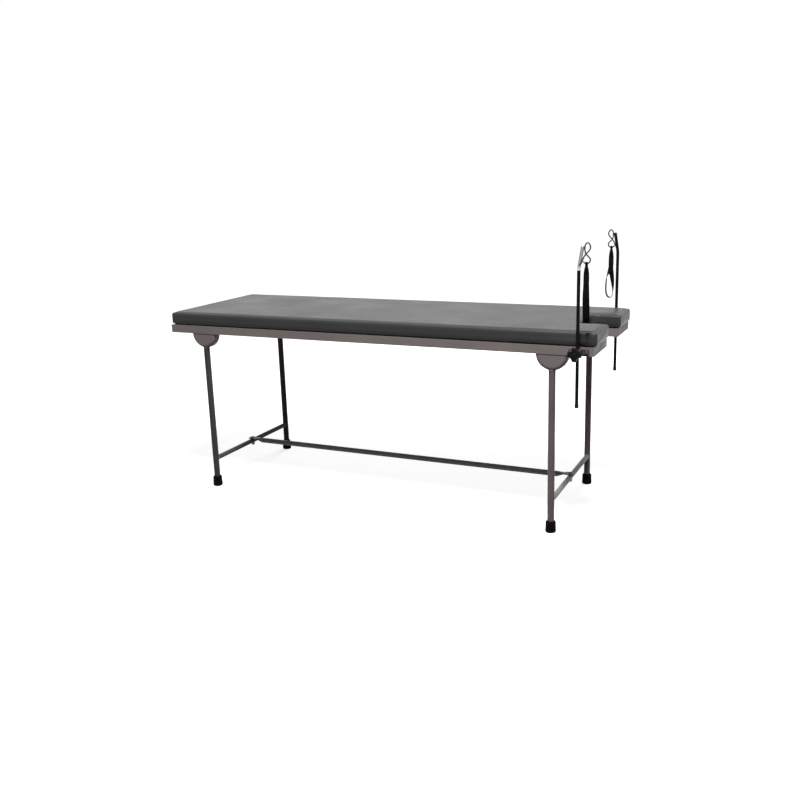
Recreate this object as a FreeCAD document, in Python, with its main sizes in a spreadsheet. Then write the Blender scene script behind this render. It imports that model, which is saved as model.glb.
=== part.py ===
import FreeCAD, Part
import math
import os

import Sketcher

# Gynaecological examination table: a padded steel bench with a foot notch, clamps, rods and straps.
# The head end is at -X, the foot end at +X, the patient's right at -Y; the origin is on the floor.

# Driving dimensions in millimetres
DIMENSIONS = {
    # whole table
    "table_length": 1830.0,
    "table_width": 600.0,
    "table_height": 762.0,
    # clearances
    "weld_gap": 0.1,
    "soft_gap": 0.3,
    "running_gap": 0.08,
    "screw_gap": 0.15,
    # mattress pad and the board in its underside
    "pad_thickness": 55.0,
    "pad_corner": 24.0,
    "pad_top_edge": 13.0,
    "pad_bottom_edge": 8.0,
    "pad_side_overhang": 3.0,
    "pad_head_overhang": 4.0,
    "pad_foot_overhang": 12.0,
    "board_thickness": 12.0,
    "board_margin": 14.0,
    # notch at the foot end of the pad
    "notch_width": 190.0,
    "notch_depth": 115.0,
    "notch_corner": 34.0,
    "prong_corner": 16.0,
    "notch_overhang": 3.0,
    # frame of square tube under the pad
    "rail_size": 32.0,
    "rail_wall": 1.6,
    "member_width": 32.0,
    "member_height": 16.0,
    "member_wall": 1.5,
    "pad_screw_spread": 380.0,
    "pad_screw_radius": 2.5,
    "pad_screw_length": 25.0,
    "pad_screw_head_radius": 5.0,
    "pad_screw_head_height": 3.0,
    # legs and their rubber feet
    "leg_end_inset": 165.0,
    "leg_diameter": 25.4,
    "leg_wall": 1.6,
    "foot_height": 45.0,
    "foot_base_diameter": 41.0,
    "foot_top_diameter": 37.0,
    "foot_shoulder": 5.0,
    "foot_floor": 9.0,
    "foot_base_edge": 5.0,
    "foot_lip": 1.6,
    # half-round gussets
    "gusset_radius": 60.0,
    "gusset_wall": 1.6,
    "gusset_edge": 13.0,
    # bars near the floor
    "bar_height": 123.0,
    "bar_diameter": 20.0,
    "bar_wall": 1.5,
    "stretcher_diameter": 22.0,
    "stretcher_wall": 1.5,
    "tongue_rise": 4.0,
    "tongue_thickness": 3.2,
    "tongue_width": 31.0,
    "tongue_inner_length": 22.0,
    "tongue_outer_length": 17.0,
    "tongue_corner": 12.0,
    "taper_length": 32.0,
    "bolt_radius": 4.0,
    "bolt_length": 34.0,
    "bolt_head_radius": 8.0,
    "bolt_head_height": 6.0,
    "bolt_head_dome": 5.0,
    "nut_across_corners": 15.0,
    "nut_height": 6.5,
    "washer_radius": 8.0,
    "washer_thickness": 1.6,
    # clamp for a lithotomy rod
    "rod_end_inset": 66.0,
    "rod_offset": 19.0,
    "ear_half_length": 37.0,
    "ear_height": 18.0,
    "ear_thickness": 4.0,
    "ear_corner": 6.0,
    "block_width": 26.0,
    "block_height": 22.0,
    "block_front": 14.5,
    "block_corner": 8.0,
    "boss_radius": 9.0,
    "boss_length": 6.0,
    "clamp_screw_half_spacing": 27.0,
    "clamp_screw_radius": 2.5,
    "clamp_screw_length": 12.0,
    "clamp_screw_head_radius": 4.6,
    "clamp_screw_head_height": 3.0,
    # knob, stud and pressure shoe
    "stud_radius": 4.0,
    "stud_grip": 9.0,
    "shoe_radius": 4.8,
    "shoe_thickness": 3.0,
    "shoe_travel": 2.5,
    "shoe_gap": 0.3,
    "knob_clearance": 2.5,
    "hub_radius": 10.5,
    "hub_length": 10.0,
    "knob_radius": 25.0,
    "knob_thickness": 17.0,
    "knob_rim": 5.0,
    "knob_scallop_radius": 13.0,
    "knob_scallop_distance": 30.0,
    "knob_cap_radius": 8.0,
    "knob_cap_height": 1.5,
    # lithotomy rod and its end cap
    "rod_diameter": 12.0,
    "rod_below": 195.0,
    "rod_top_height": 365.0,
    "rod_tip_height": 75.0,
    "rod_lean": 12.0,
    "rod_bend_radius": 150.0,
    "rod_tip_edge": 3.0,
    "cap_length": 14.0,
    "cap_wall": 0.9,
    "cap_floor": 2.5,
    # figure-of-eight hook of wire
    "wire_radius": 2.5,
    "hook_below_tip": 58.5,
    "lower_loop_height": 31.5,
    "upper_loop_height": 38.5,
    "hook_middle": 26.0,
    "hook_crossing": 23.5,
    "upper_loop_reach": 38.0,
    "wire_cross_gap": 0.3,
    "hook_tail": 5.0,
    # webbing strap
    "strap_width": 20.0,
    "strap_thickness": 2.0,
    "stem_thickness": 5.0,
    "stem_length": 73.0,
    "stem_taper": 30.0,
    "strap_drop": 203.0,
    "strap_shoulder": 21.0,
    "strap_bend": 13.0,
    "strap_loop_width": 31.0,
    "strap_rod_clearance": 9.0,
    "strap_outer_reach": 18.0,
    "strap_inner_reach": 9.0,
    "eye_width": 10.0,
    "eye_radius": 3.5,
}

SIDES = {"right": -1, "left": 1}
ENDS = {"head": -1, "foot": 1}
DECK_MEMBERS = 3
KNOB_LOBES = 4
# the hook's wire: where its loops are widest, as shares of their heights, and its angles in degrees
LOWER_LOOP_CENTRE = 0.4
UPPER_LOOP_CENTRE = 0.5
TAIL_START, TAIL_MIDDLE, TAIL_END = -85, -45, -14
UPPER_LOOP_ANGLES = (0, 50, 90, 130, 180)
LOWER_LOOP_ANGLES = (0, -45, -90)
# the wire's end and the tail's middle, as shares of the lower loop's half width
WIRE_END_BACK = 0.85
WIRE_END_RISE = 0.55
TAIL_RISE = 0.1

document = FreeCAD.newDocument("examination_table")
sheet = document.addObject("Spreadsheet::Sheet", "Sizes")
nodes = []


class Size(float):
    """A length in millimetres that remembers the sheet expression it was worked out from."""

    def __new__(cls, value, text):
        size = super().__new__(cls, value)
        size.text = text
        return size

    def __add__(self, other):
        return Size(float(self) + float(other), f"({self.text} + {text_of(other)})")

    def __radd__(self, other):
        return Size(float(other) + float(self), f"({text_of(other)} + {self.text})")

    def __sub__(self, other):
        return Size(float(self) - float(other), f"({self.text} - {text_of(other)})")

    def __rsub__(self, other):
        return Size(float(other) - float(self), f"({text_of(other)} - {self.text})")

    def __mul__(self, other):
        return Size(float(self) * float(other), f"({self.text} * {text_of(other)})")

    def __truediv__(self, other):
        return Size(float(self) / float(other), f"({self.text} / {text_of(other)})")

    def __neg__(self):
        return Size(-float(self), f"(0 - {self.text})")


def text_of(number):
    """The text of a size or of a plain number in an expression."""
    return number.text if isinstance(number, Size) else f"({float(number)!r})"


def fill_sheet():
    """Write the driving dimensions into the sheet and return them as sizes."""
    for row, (word, value) in enumerate(DIMENSIONS.items(), start=1):
        sheet.set(f"A{row}", word)
        sheet.set(f"B{row}", str(value))
        sheet.setAlias(f"B{row}", word)
    document.recompute()
    return {word: Size(value, f"Sizes.{word}") for word, value in DIMENSIONS.items()}


class Sizes:
    """The driving dimensions by name, and the places worked out from them."""

    def __init__(self, sizes):
        self.__dict__.update(sizes)
        # plan of the pad and of the frame under it
        self.pad_end = self.table_length / 2
        self.pad_side = self.table_width / 2
        self.notch_end = self.pad_end - self.notch_depth
        self.notch_side = self.notch_width / 2
        self.frame_head = -(self.pad_end - self.pad_head_overhang)
        self.frame_foot = self.pad_end - self.pad_foot_overhang
        self.frame_side = self.pad_side - self.pad_side_overhang
        self.frame_notch_end = self.notch_end - self.notch_overhang
        self.frame_notch_side = self.notch_side + self.notch_overhang
        # heights
        self.rail_top = self.table_height - self.pad_thickness
        self.rail_bottom = self.rail_top - self.rail_size
        self.clamp_height = self.rail_bottom + self.rail_size / 2
        self.bar_top = self.bar_height + self.bar_diameter / 2
        self.tongue_underside = self.bar_top + self.weld_gap
        self.stretcher_height = self.tongue_underside - self.tongue_rise
        # legs and rods
        self.leg_end = self.pad_end - self.leg_end_inset
        self.leg_side = self.frame_side - self.rail_size / 2
        self.leg_radius = self.leg_diameter / 2
        self.rod_end = self.pad_end - self.rod_end_inset
        self.rod_side = self.frame_side + self.rod_offset
        self.rod_radius = self.rod_diameter / 2
        self.rod_bend_height = self.rod_top_height - self.rod_tip_height
        self.hook_bottom = self.rod_top_height - self.hook_below_tip
        # stack of the clamp screw, outward from the rod's axis
        self.shoe_face = self.rod_radius + self.shoe_gap
        self.shoe_back = self.shoe_face + self.shoe_thickness
        self.boss_face = self.block_front + self.boss_length
        self.hub_face = self.boss_face + self.knob_clearance
        self.knob_back = self.hub_face + self.hub_length
        self.stud_end = self.hub_face + self.stud_grip


def signed(size, side):
    """The size itself for side 1, its negative for side -1."""
    return size if side > 0 else -size


def set_place(item, x=0.0, y=0.0, z=0.0, turn=0.0):
    """Put an item at a place and turn it about the vertical, in degrees."""
    turned = FreeCAD.Rotation(FreeCAD.Vector(0, 0, 1), turn)
    item.Placement = FreeCAD.Placement(FreeCAD.Vector(float(x), float(y), float(z)), turned)
    for axis, place in (("x", x), ("y", y), ("z", z)):
        if isinstance(place, Size):
            item.setExpression(f"Placement.Base.{axis}", place.text)


def new_body(label, x=0.0, y=0.0, z=0.0, turn=0.0, node=True):
    """An empty body at its place; a node is written to a file of its own."""
    body = document.addObject("PartDesign::Body", label)
    body.Label = label
    set_place(body, x, y, z, turn)
    if node:
        nodes.append(body)
    return body


def new_group(label, members):
    """A node of separate solids, for fasteners that repeat."""
    group = document.addObject("Part::Compound", label)
    group.Label = label
    group.Links = members
    nodes.append(group)


def new_sketch(body, plane, lift=None):
    """A sketch on one of the body's origin planes, lifted along the plane's normal."""
    sketch = body.newObject("Sketcher::SketchObject", f"{body.Name}_sketch")
    support = next(item for item in body.Origin.OriginFeatures if item.Role == f"{plane}_Plane")
    sketch.AttachmentSupport = (support, "")
    sketch.MapMode = "FlatFace"
    if lift is not None:
        sketch.setExpression("AttachmentOffset.Base.z", lift.text)
    return sketch


def bind(sketch, constraint, size):
    """Add a constraint whose value follows a size."""
    row = sketch.addConstraint(constraint)
    sketch.setExpression(f"Constraints[{row}]", size.text)


def pin_point(sketch, item, end, across, up):
    """Hold a point of a sketch at a place measured from the sketch's origin; 0 is on the axis."""
    for kind, place, axis in (("DistanceX", across, -2), ("DistanceY", up, -1)):
        if isinstance(place, Size):
            bind(sketch, Sketcher.Constraint(kind, -1, 1, item, end, float(place)), place)
        else:
            sketch.addConstraint(Sketcher.Constraint("PointOnObject", item, end, axis))


def add_circle(sketch, across, up, radius):
    """A circle with its centre and radius held."""
    centre = FreeCAD.Vector(float(across), float(up), 0)
    item = sketch.addGeometry(Part.Circle(centre, FreeCAD.Vector(0, 0, 1), float(radius)))
    pin_point(sketch, item, 3, across, up)
    bind(sketch, Sketcher.Constraint("Radius", item, float(radius)), radius)


def add_ellipse(sketch, up, half_width, half_height):
    """An ellipse centred on the vertical axis, wider than it is high."""
    centre = FreeCAD.Vector(0, float(up), 0)
    side = FreeCAD.Vector(float(half_width), float(up), 0)
    top = FreeCAD.Vector(0, float(up + half_height), 0)
    item = sketch.addGeometry(Part.Ellipse(side, top, centre))
    sketch.exposeInternalGeometry(item)
    pin_point(sketch, item, 3, 0, up)
    major, minor = item + 1, item + 2
    sketch.addConstraint(Sketcher.Constraint("Horizontal", major))
    for item, length in ((major, half_width * 2), (minor, half_height * 2)):
        bind(sketch, Sketcher.Constraint("Distance", item, 1, item, 2, float(length)), length)


def add_path(sketch, corners, closed=True):
    """Straight edges from corner to corner; a corner is (across, up) or (across, up, radius)."""
    points = [FreeCAD.Vector(float(corner[0]), float(corner[1]), 0) for corner in corners]
    count = len(corners)
    edges = count if closed else count - 1
    starts, ends = list(points), list(points)
    arcs = {}
    for i, corner in enumerate(corners):
        if len(corner) < 3:
            continue
        back = (points[i - 1] - points[i]).normalize()
        ahead = (points[(i + 1) % count] - points[i]).normalize()
        half = back.getAngle(ahead) / 2
        cut = float(corner[2]) / math.tan(half)
        ends[i] = points[i] + back * cut
        starts[i] = points[i] + ahead * cut
        centre = points[i] + (back + ahead).normalize() * (float(corner[2]) / math.sin(half))
        left_turn = (-back).cross(ahead).z > 0
        first, last = (ends[i], starts[i]) if left_turn else (starts[i], ends[i])
        angles = [math.atan2(p.y - centre.y, p.x - centre.x) for p in (first, last)]
        circle = Part.Circle(centre, FreeCAD.Vector(0, 0, 1), float(corner[2]))
        arcs[i] = (Part.ArcOfCircle(circle, *angles), left_turn)
    lines = []
    for i in range(edges):
        after = (i + 1) % count
        lines.append(sketch.addGeometry(Part.LineSegment(starts[i], ends[after])))
    for i, corner in enumerate(corners):
        before, after = lines[i - 1], lines[i % len(lines)]
        if i in arcs:
            shape, left_turn = arcs[i]
            arc = sketch.addGeometry(shape)
            entry, leave = (1, 2) if left_turn else (2, 1)
            sketch.addConstraint(Sketcher.Constraint("Tangent", before, 2, arc, entry))
            sketch.addConstraint(Sketcher.Constraint("Tangent", arc, leave, after, 1))
            bind(sketch, Sketcher.Constraint("Radius", arc, float(corner[2])), corner[2])
            mark = sketch.addGeometry(Part.Point(points[i]), True)
            sketch.addConstraint(Sketcher.Constraint("PointOnObject", mark, 1, before))
            sketch.addConstraint(Sketcher.Constraint("PointOnObject", mark, 1, after))
            pin_point(sketch, mark, 1, corner[0], corner[1])
        elif not closed and i == count - 1:
            pin_point(sketch, lines[-1], 2, corner[0], corner[1])
        else:
            if closed or i > 0:
                sketch.addConstraint(Sketcher.Constraint("Coincident", before, 2, after, 1))
            pin_point(sketch, after, 1, corner[0], corner[1])


def add_box(sketch, left, right, low, high):
    """A rectangle between two places across and two heights."""
    add_path(sketch, [(left, low), (right, low), (right, high), (left, high)])


def pad(body, sketch, length, both_ways=False, backwards=False):
    """Extrude a sketch; both_ways shares the length between the two sides."""
    feature = body.newObject("PartDesign::Pad", f"{body.Name}_pad")
    feature.Profile = sketch
    feature.SideType = "Symmetric" if both_ways else "One side"
    feature.Reversed = backwards
    feature.setExpression("Length", length.text)
    return feature


def pocket(body, sketch, length=None, backwards=False):
    """Cut a sketch away, to a depth or, with none given, right through on both sides."""
    feature = body.newObject("PartDesign::Pocket", f"{body.Name}_pocket")
    feature.Profile = sketch
    feature.Reversed = backwards
    if length is None:
        feature.Type = "ThroughAll"
        feature.SideType = "Symmetric"
    else:
        feature.setExpression("Length", length.text)
    return feature


def revolve(body, sketch, axis="V_Axis", angle=360.0):
    """Revolve a sketch about one of its own axes."""
    feature = body.newObject("PartDesign::Revolution", f"{body.Name}_revolution")
    feature.Profile = sketch
    feature.ReferenceAxis = (sketch, [axis])
    feature.Angle = angle
    return feature


def round_edges(body, base, radius, wanted):
    """Fillet the edges of a feature that a test picks out."""
    document.recompute()
    names = [f"Edge{i}" for i, edge in enumerate(base.Shape.Edges, start=1) if wanted(edge)]
    feature = body.newObject("PartDesign::Fillet", f"{body.Name}_fillet")
    feature.Base = (base, names)
    feature.setExpression("Radius", radius.text)
    return feature


def edge_at_height(height):
    """A test for edges that lie wholly at one height."""
    def wanted(edge):
        box = edge.BoundBox
        return abs(box.ZMin - height) < 0.01 and abs(box.ZMax - height) < 0.01
    return wanted


def tube(body, sketch, radius, wall):
    """Draw the section of a round tube."""
    add_circle(sketch, 0, 0, radius)
    add_circle(sketch, 0, 0, radius - wall)


def make_rail(label, corners, plane, side, middle):
    """A square tube cut to its plan outline; its hollow runs along X or Y about a middle line."""
    body = new_body(label, z=s.rail_bottom)
    outline = new_sketch(body, "XY")
    add_path(outline, corners)
    pad(body, outline, s.rail_size)
    hollow = new_sketch(body, plane)
    reach = s.rail_size / 2 - s.rail_wall
    centre = signed(middle, side)
    add_box(hollow, centre - reach, centre + reach, s.rail_wall, s.rail_size - s.rail_wall)
    pocket(body, hollow)
    return body


def make_frame():
    """Rails round the deck and the notch, mitred where they meet at a corner."""
    head, foot, edge = s.frame_head, s.frame_foot, s.frame_side
    inner, width = s.frame_side - s.rail_size, s.rail_size
    notch, notch_x = s.frame_notch_side, s.frame_notch_end
    for name, side in SIDES.items():
        y = [signed(place, side) for place in (edge, inner, notch + width, notch)]
        corners = [(head, y[0]), (foot, y[0]), (foot - width, y[1]), (head + width, y[1])]
        rail = make_rail(f"side_rail_{name}", corners, "YZ", side, edge - width / 2)
        holes = new_sketch(rail, "XZ", signed(edge, -side))
        for shift in (-s.clamp_screw_half_spacing, s.clamp_screw_half_spacing):
            add_circle(holes, s.rod_end + shift, width / 2, s.clamp_screw_radius + s.screw_gap)
        pocket(rail, holes, s.rail_wall * 2, backwards=side > 0)
        corners = [(foot, y[0]), (foot, y[3]), (foot - width, y[2]), (foot - width, y[1])]
        make_rail(f"foot_rail_{name}", corners, "XZ", 1, foot - width / 2)
        corners = [(notch_x, y[3]), (foot, y[3]), (foot - width, y[2]), (notch_x, y[2])]
        make_rail(f"notch_rail_{name}", corners, "YZ", side, notch + width / 2)
    corners = [(head, -edge), (head, edge), (head + width, inner), (head + width, -inner)]
    make_rail("head_rail", corners, "XZ", 1, head + width / 2)
    corners = [(notch_x - width, -inner), (notch_x, -inner), (notch_x, inner), (notch_x - width, inner)]
    make_rail("notch_cross_rail", corners, "XZ", 1, notch_x - width / 2)


def member_places():
    """Where the deck's cross members lie, evenly between the head rail and the notch's cross rail."""
    start = s.frame_head + s.rail_size
    span = s.frame_notch_end - s.rail_size - start
    return [start + span * (i / (DECK_MEMBERS + 1)) for i in range(1, DECK_MEMBERS + 1)]


def pad_screw_places():
    """Where the screws pass through the cross members into the board."""
    half = s.pad_screw_spread / 2
    return [(x, y) for x in member_places() for y in (-half, half)]


def make_deck_members():
    """Flat tubes across the frame, level with its top, that carry the pad's board."""
    length = (s.frame_side - s.rail_size) * 2
    half, high, wall = s.member_width / 2, s.member_height, s.member_wall
    for number, x in enumerate(member_places(), start=1):
        body = new_body(f"deck_member_{number}", x=x, z=s.rail_top - high)
        section = new_sketch(body, "XZ")
        add_box(section, -half, half, 0, high)
        add_box(section, wall - half, half - wall, wall, high - wall)
        pad(body, section, length, both_ways=True)
        holes = new_sketch(body, "XY")
        for y in (-s.pad_screw_spread / 2, s.pad_screw_spread / 2):
            add_circle(holes, 0, y, s.pad_screw_radius + s.screw_gap)
        pocket(body, holes)


def notched_outline(margin, rounded):
    """Plan of the pad with its notch, drawn in by a margin; the board's corners stay square."""
    end, side = s.pad_end - margin, s.pad_side - margin
    notch_side, notch_end = s.notch_side + margin, s.notch_end - margin
    places = [(-end, -side, s.pad_corner), (end, -side, s.pad_corner),
              (end, -notch_side, s.prong_corner), (notch_end, -notch_side, s.notch_corner),
              (notch_end, notch_side, s.notch_corner), (end, notch_side, s.prong_corner),
              (end, side, s.pad_corner), (-end, side, s.pad_corner)]
    return places if rounded else [place[:2] for place in places]


def make_pad():
    """The plywood board on the rails, the screws that hold it, and the pad that wraps it."""
    board = new_body("pad_board", z=s.rail_top)
    outline = new_sketch(board, "XY")
    add_path(outline, notched_outline(s.board_margin, False))
    pad(board, outline, s.board_thickness)
    holes = new_sketch(board, "XY")
    for x, y in pad_screw_places():
        add_circle(holes, x, y, s.pad_screw_radius + s.screw_gap)
    pocket(board, holes)

    mattress = new_body("mattress_pad", z=s.rail_top + s.soft_gap)
    outline = new_sketch(mattress, "XY")
    add_path(outline, notched_outline(0.0, True))
    height = s.pad_thickness - s.soft_gap
    block = pad(mattress, outline, height)
    top = round_edges(mattress, block, s.pad_top_edge, edge_at_height(float(height)))
    round_edges(mattress, top, s.pad_bottom_edge, edge_at_height(0.0))
    recess = new_sketch(mattress, "XY")
    add_path(recess, notched_outline(s.board_margin - s.soft_gap, False))
    pocket(mattress, recess, s.board_thickness, backwards=True)

    screws = []
    for number, (x, y) in enumerate(pad_screw_places(), start=1):
        screw = new_body(f"pad_screw_{number}", x=x, y=y, z=s.rail_top - s.member_height, node=False)
        draw_screw(screw, s.pad_screw_radius, s.pad_screw_length,
                   s.pad_screw_head_radius, s.pad_screw_head_height, "XZ")
        screws.append(screw)
    new_group("pad_screws", screws)


def draw_screw(body, radius, length, head_radius, head_height, plane):
    """A pan-headed screw along the sketch's vertical axis, its head below 0."""
    outline = new_sketch(body, plane)
    add_path(outline, [(0, -head_height), (head_radius, -head_height, head_height / 2),
                       (head_radius, 0), (radius, 0), (radius, length), (0, length)])
    revolve(body, outline)


def make_leg(label, x, y):
    """A round tube from the rubber foot up to the rail."""
    body = new_body(label, x=x, y=y, z=s.foot_floor)
    section = new_sketch(body, "XY")
    tube(body, section, s.leg_radius, s.leg_wall)
    pad(body, section, s.rail_bottom - s.foot_floor)


def make_rubber_foot(label, x, y):
    """A moulded ferrule pushed on the leg, wider at its base, with a bevelled lip at the top."""
    body = new_body(label, x=x, y=y)
    base, top = s.foot_base_diameter / 2, s.foot_top_diameter / 2
    bore = s.leg_radius + s.weld_gap
    shoulder = s.foot_height - s.foot_shoulder
    outline = new_sketch(body, "XZ")
    add_path(outline, [(0, 0), (base, 0, s.foot_base_edge), (top, shoulder),
                       (bore + s.foot_lip, s.foot_height), (bore, s.foot_height),
                       (bore, s.foot_floor), (0, s.foot_floor)])
    revolve(body, outline)


def make_gusset(label, x, y, turn):
    """A pressed half bowl under the rail, open above and behind, that the leg comes out of."""
    body = new_body(label, x=x, y=y, z=s.rail_bottom - s.weld_gap, turn=turn)
    inside = -(s.leg_radius + s.soft_gap)
    front = inside - s.gusset_wall
    back = s.rail_size / 2
    outer, inner = s.gusset_radius, s.gusset_radius - s.gusset_wall
    outline = new_sketch(body, "XY")
    add_path(outline, [(0, front), (outer, front, s.gusset_edge), (outer, back), (inner, back),
                       (inner, inside, s.gusset_edge - s.gusset_wall), (0, inside)])
    revolve(body, outline, angle=180.0)
    hole = new_sketch(body, "XY")
    add_circle(hole, 0, 0, s.leg_radius + s.soft_gap)
    pocket(body, hole, s.gusset_radius * 2)


def make_cross_bar(label, x):
    """A round tube between two legs, its ends cut to the curve of the legs, drilled for the bolt."""
    body = new_body(label, x=x, z=s.bar_height)
    section = new_sketch(body, "XZ")
    tube(body, section, s.bar_diameter / 2, s.bar_wall)
    pad(body, section, s.leg_side * 2, both_ways=True)
    saddles = new_sketch(body, "XY")
    for y in (-s.leg_side, s.leg_side):
        add_circle(saddles, 0, y, s.leg_radius + s.weld_gap)
    add_circle(saddles, 0, 0, s.bolt_radius + s.screw_gap)
    pocket(body, saddles)


def make_stretcher():
    """The long tube, pressed flat at both ends into tongues that lie on top of the cross bars."""
    body = new_body("long_stretcher", z=s.stretcher_height)
    radius = s.stretcher_diameter / 2
    flat_start = s.leg_end - s.tongue_inner_length
    tube_end = flat_start - s.taper_length
    middle = s.tongue_rise + s.tongue_thickness / 2
    half = s.tongue_width / 2
    section = new_sketch(body, "YZ")
    tube(body, section, radius, s.stretcher_wall)
    pad(body, section, tube_end * 2, both_ways=True)
    for side in ENDS.values():
        round_end = new_sketch(body, "YZ", signed(tube_end, side))
        add_circle(round_end, 0, 0, radius)
        flat_end = new_sketch(body, "YZ", signed(flat_start, side))
        add_ellipse(flat_end, middle, half, s.tongue_thickness / 2)
        taper = body.newObject("PartDesign::AdditiveLoft", "stretcher_taper")
        taper.Profile = round_end
        taper.Sections = [flat_end]
        plan = new_sketch(body, "XY", s.tongue_rise)
        start, end = signed(flat_start, side), signed(s.leg_end + s.tongue_outer_length, side)
        add_path(plan, [(start, -half), (end, -half, s.tongue_corner),
                        (end, half, s.tongue_corner), (start, half)])
        pad(body, plan, s.tongue_thickness)
    holes = new_sketch(body, "XY")
    for side in ENDS.values():
        add_circle(holes, signed(s.leg_end, side), 0, s.bolt_radius + s.screw_gap)
    pocket(body, holes)


def make_stretcher_fasteners():
    """A domed bolt down through each tongue and bar, with a washer and a nut underneath."""
    top = s.tongue_underside + s.tongue_thickness
    below = s.bar_height - s.bar_diameter / 2 - s.weld_gap - s.washer_thickness
    bolts, washers, nuts = [], [], []
    for name, side in ENDS.items():
        x = signed(s.leg_end, side)
        bolt = new_body(f"stretcher_bolt_{name}", x=x, z=top, node=False)
        outline = new_sketch(bolt, "XZ")
        head, high = s.bolt_head_radius, s.bolt_head_height
        add_path(outline, [(0, -s.bolt_length), (s.bolt_radius, -s.bolt_length), (s.bolt_radius, 0),
                           (head, 0), (head, high, s.bolt_head_dome), (0, high)])
        revolve(bolt, outline)
        bolts.append(bolt)
        washer = new_body(f"stretcher_washer_{name}", x=x, z=below, node=False)
        ring = new_sketch(washer, "XY")
        add_circle(ring, 0, 0, s.washer_radius)
        add_circle(ring, 0, 0, s.bolt_radius + s.screw_gap)
        pad(washer, ring, s.washer_thickness)
        washers.append(washer)
        nut = new_body(f"stretcher_nut_{name}", x=x, z=below - s.nut_height, node=False)
        plan = new_sketch(nut, "XY")
        reach = s.nut_across_corners / 2
        angles = [math.radians(60 * i + 30) for i in range(6)]
        add_path(plan, [(reach * math.cos(angle), reach * math.sin(angle)) for angle in angles])
        add_circle(plan, 0, 0, s.bolt_radius + s.screw_gap)
        pad(nut, plan, s.nut_height)
        nuts.append(nut)
    new_group("stretcher_bolts", bolts)
    new_group("stretcher_washers", washers)
    new_group("stretcher_nuts", nuts)


def side_place(side):
    """Where a rod stands in plan, and how its clamp, rod and strap are turned."""
    return {"x": s.rod_end, "y": signed(s.rod_side, side), "turn": 0.0 if side < 0 else 180.0}


def make_rod_clamp(name, side):
    """A block with ears on the rail's face, bored upright for the rod and threaded for the stud."""
    body = new_body(f"rod_clamp_{name}", z=s.clamp_height, **side_place(side))
    long, high, corner = s.ear_half_length, s.ear_height / 2, s.ear_corner
    ears = new_sketch(body, "XZ", -s.rod_offset)
    add_path(ears, [(-long, -high, corner), (long, -high, corner),
                    (long, high, corner), (-long, high, corner)])
    pad(body, ears, s.ear_thickness)
    block = new_sketch(body, "XY")
    half = s.block_width / 2
    add_path(block, [(half, s.rod_offset), (-half, s.rod_offset),
                     (-half, -s.block_front, s.block_corner), (half, -s.block_front, s.block_corner)])
    pad(body, block, s.block_height, both_ways=True)
    boss = new_sketch(body, "XZ", s.block_front)
    add_circle(boss, 0, 0, s.boss_radius)
    pad(body, boss, s.boss_length)
    bore = new_sketch(body, "XY")
    add_circle(bore, 0, 0, s.rod_radius + s.running_gap)
    pocket(body, bore)
    seat = new_sketch(body, "XZ", s.shoe_back + s.shoe_travel + s.shoe_gap)
    add_circle(seat, 0, 0, s.shoe_radius + s.shoe_gap)
    pocket(body, seat, s.shoe_back + s.shoe_travel + s.shoe_gap)
    thread = new_sketch(body, "XZ", s.boss_face)
    add_circle(thread, 0, 0, s.stud_radius + s.running_gap)
    pocket(body, thread, s.boss_face)
    holes = new_sketch(body, "XZ")
    for shift in (-s.clamp_screw_half_spacing, s.clamp_screw_half_spacing):
        add_circle(holes, shift, 0, s.clamp_screw_radius + s.screw_gap)
    pocket(body, holes)


def make_clamp_screws(name, side):
    """Two pan-headed screws through the ears into the rail's wall."""
    screws = []
    outward = s.rod_side - s.rod_offset + s.ear_thickness
    for number, shift in enumerate((-s.clamp_screw_half_spacing, s.clamp_screw_half_spacing), start=1):
        screw = new_body(f"clamp_screw_{name}_{number}", x=s.rod_end + shift, y=signed(outward, side),
                         z=s.clamp_height, turn=0.0 if side < 0 else 180.0, node=False)
        draw_screw(screw, s.clamp_screw_radius, s.clamp_screw_length,
                   s.clamp_screw_head_radius, s.clamp_screw_head_height, "XY")
        screws.append(screw)
    new_group(f"clamp_screws_{name}", screws)


def make_clamp_drive(name, side):
    """The pressure shoe against the rod, the stud behind it and the star knob on the stud."""
    place = side_place(side)
    shoe = new_body(f"pressure_shoe_{name}", z=s.clamp_height, **place)
    disc = new_sketch(shoe, "XZ", s.shoe_face)
    add_circle(disc, 0, 0, s.shoe_radius)
    pad(shoe, disc, s.shoe_thickness)

    stud = new_body(f"clamp_stud_{name}", z=s.clamp_height, **place)
    shank = new_sketch(stud, "XZ", s.shoe_back + s.weld_gap)
    add_circle(shank, 0, 0, s.stud_radius)
    pad(stud, shank, s.stud_end - s.shoe_back - s.weld_gap)

    knob = new_body(f"star_knob_{name}", z=s.clamp_height, **place)
    front = s.knob_back + s.knob_thickness
    outline = new_sketch(knob, "XY")
    bore, bore_end = s.stud_radius + s.weld_gap, -s.stud_end - s.weld_gap
    cap_face = -front - s.knob_cap_height
    add_path(outline, [(bore, -s.hub_face), (s.hub_radius, -s.hub_face), (s.hub_radius, -s.knob_back),
                       (s.knob_radius, -s.knob_back, s.knob_rim), (s.knob_radius, -front, s.knob_rim),
                       (s.knob_cap_radius, -front), (s.knob_cap_radius - s.knob_cap_height, cap_face),
                       (0, cap_face), (0, bore_end), (bore, bore_end)])
    revolve(knob, outline)
    scallop = new_sketch(knob, "XZ", s.knob_back)
    reach = s.knob_scallop_distance * math.sqrt(0.5)
    add_circle(scallop, reach, reach, s.knob_scallop_radius)
    cut = pocket(knob, scallop, s.knob_thickness + s.knob_cap_height, backwards=True)
    lobes = knob.newObject("PartDesign::PolarPattern", f"{knob.Name}_lobes")
    lobes.Originals = [cut]
    lobes.Axis = (scallop, ["N_Axis"])
    lobes.Angle = 360.0
    lobes.Occurrences = KNOB_LOBES
    knob.Tip = lobes


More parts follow.
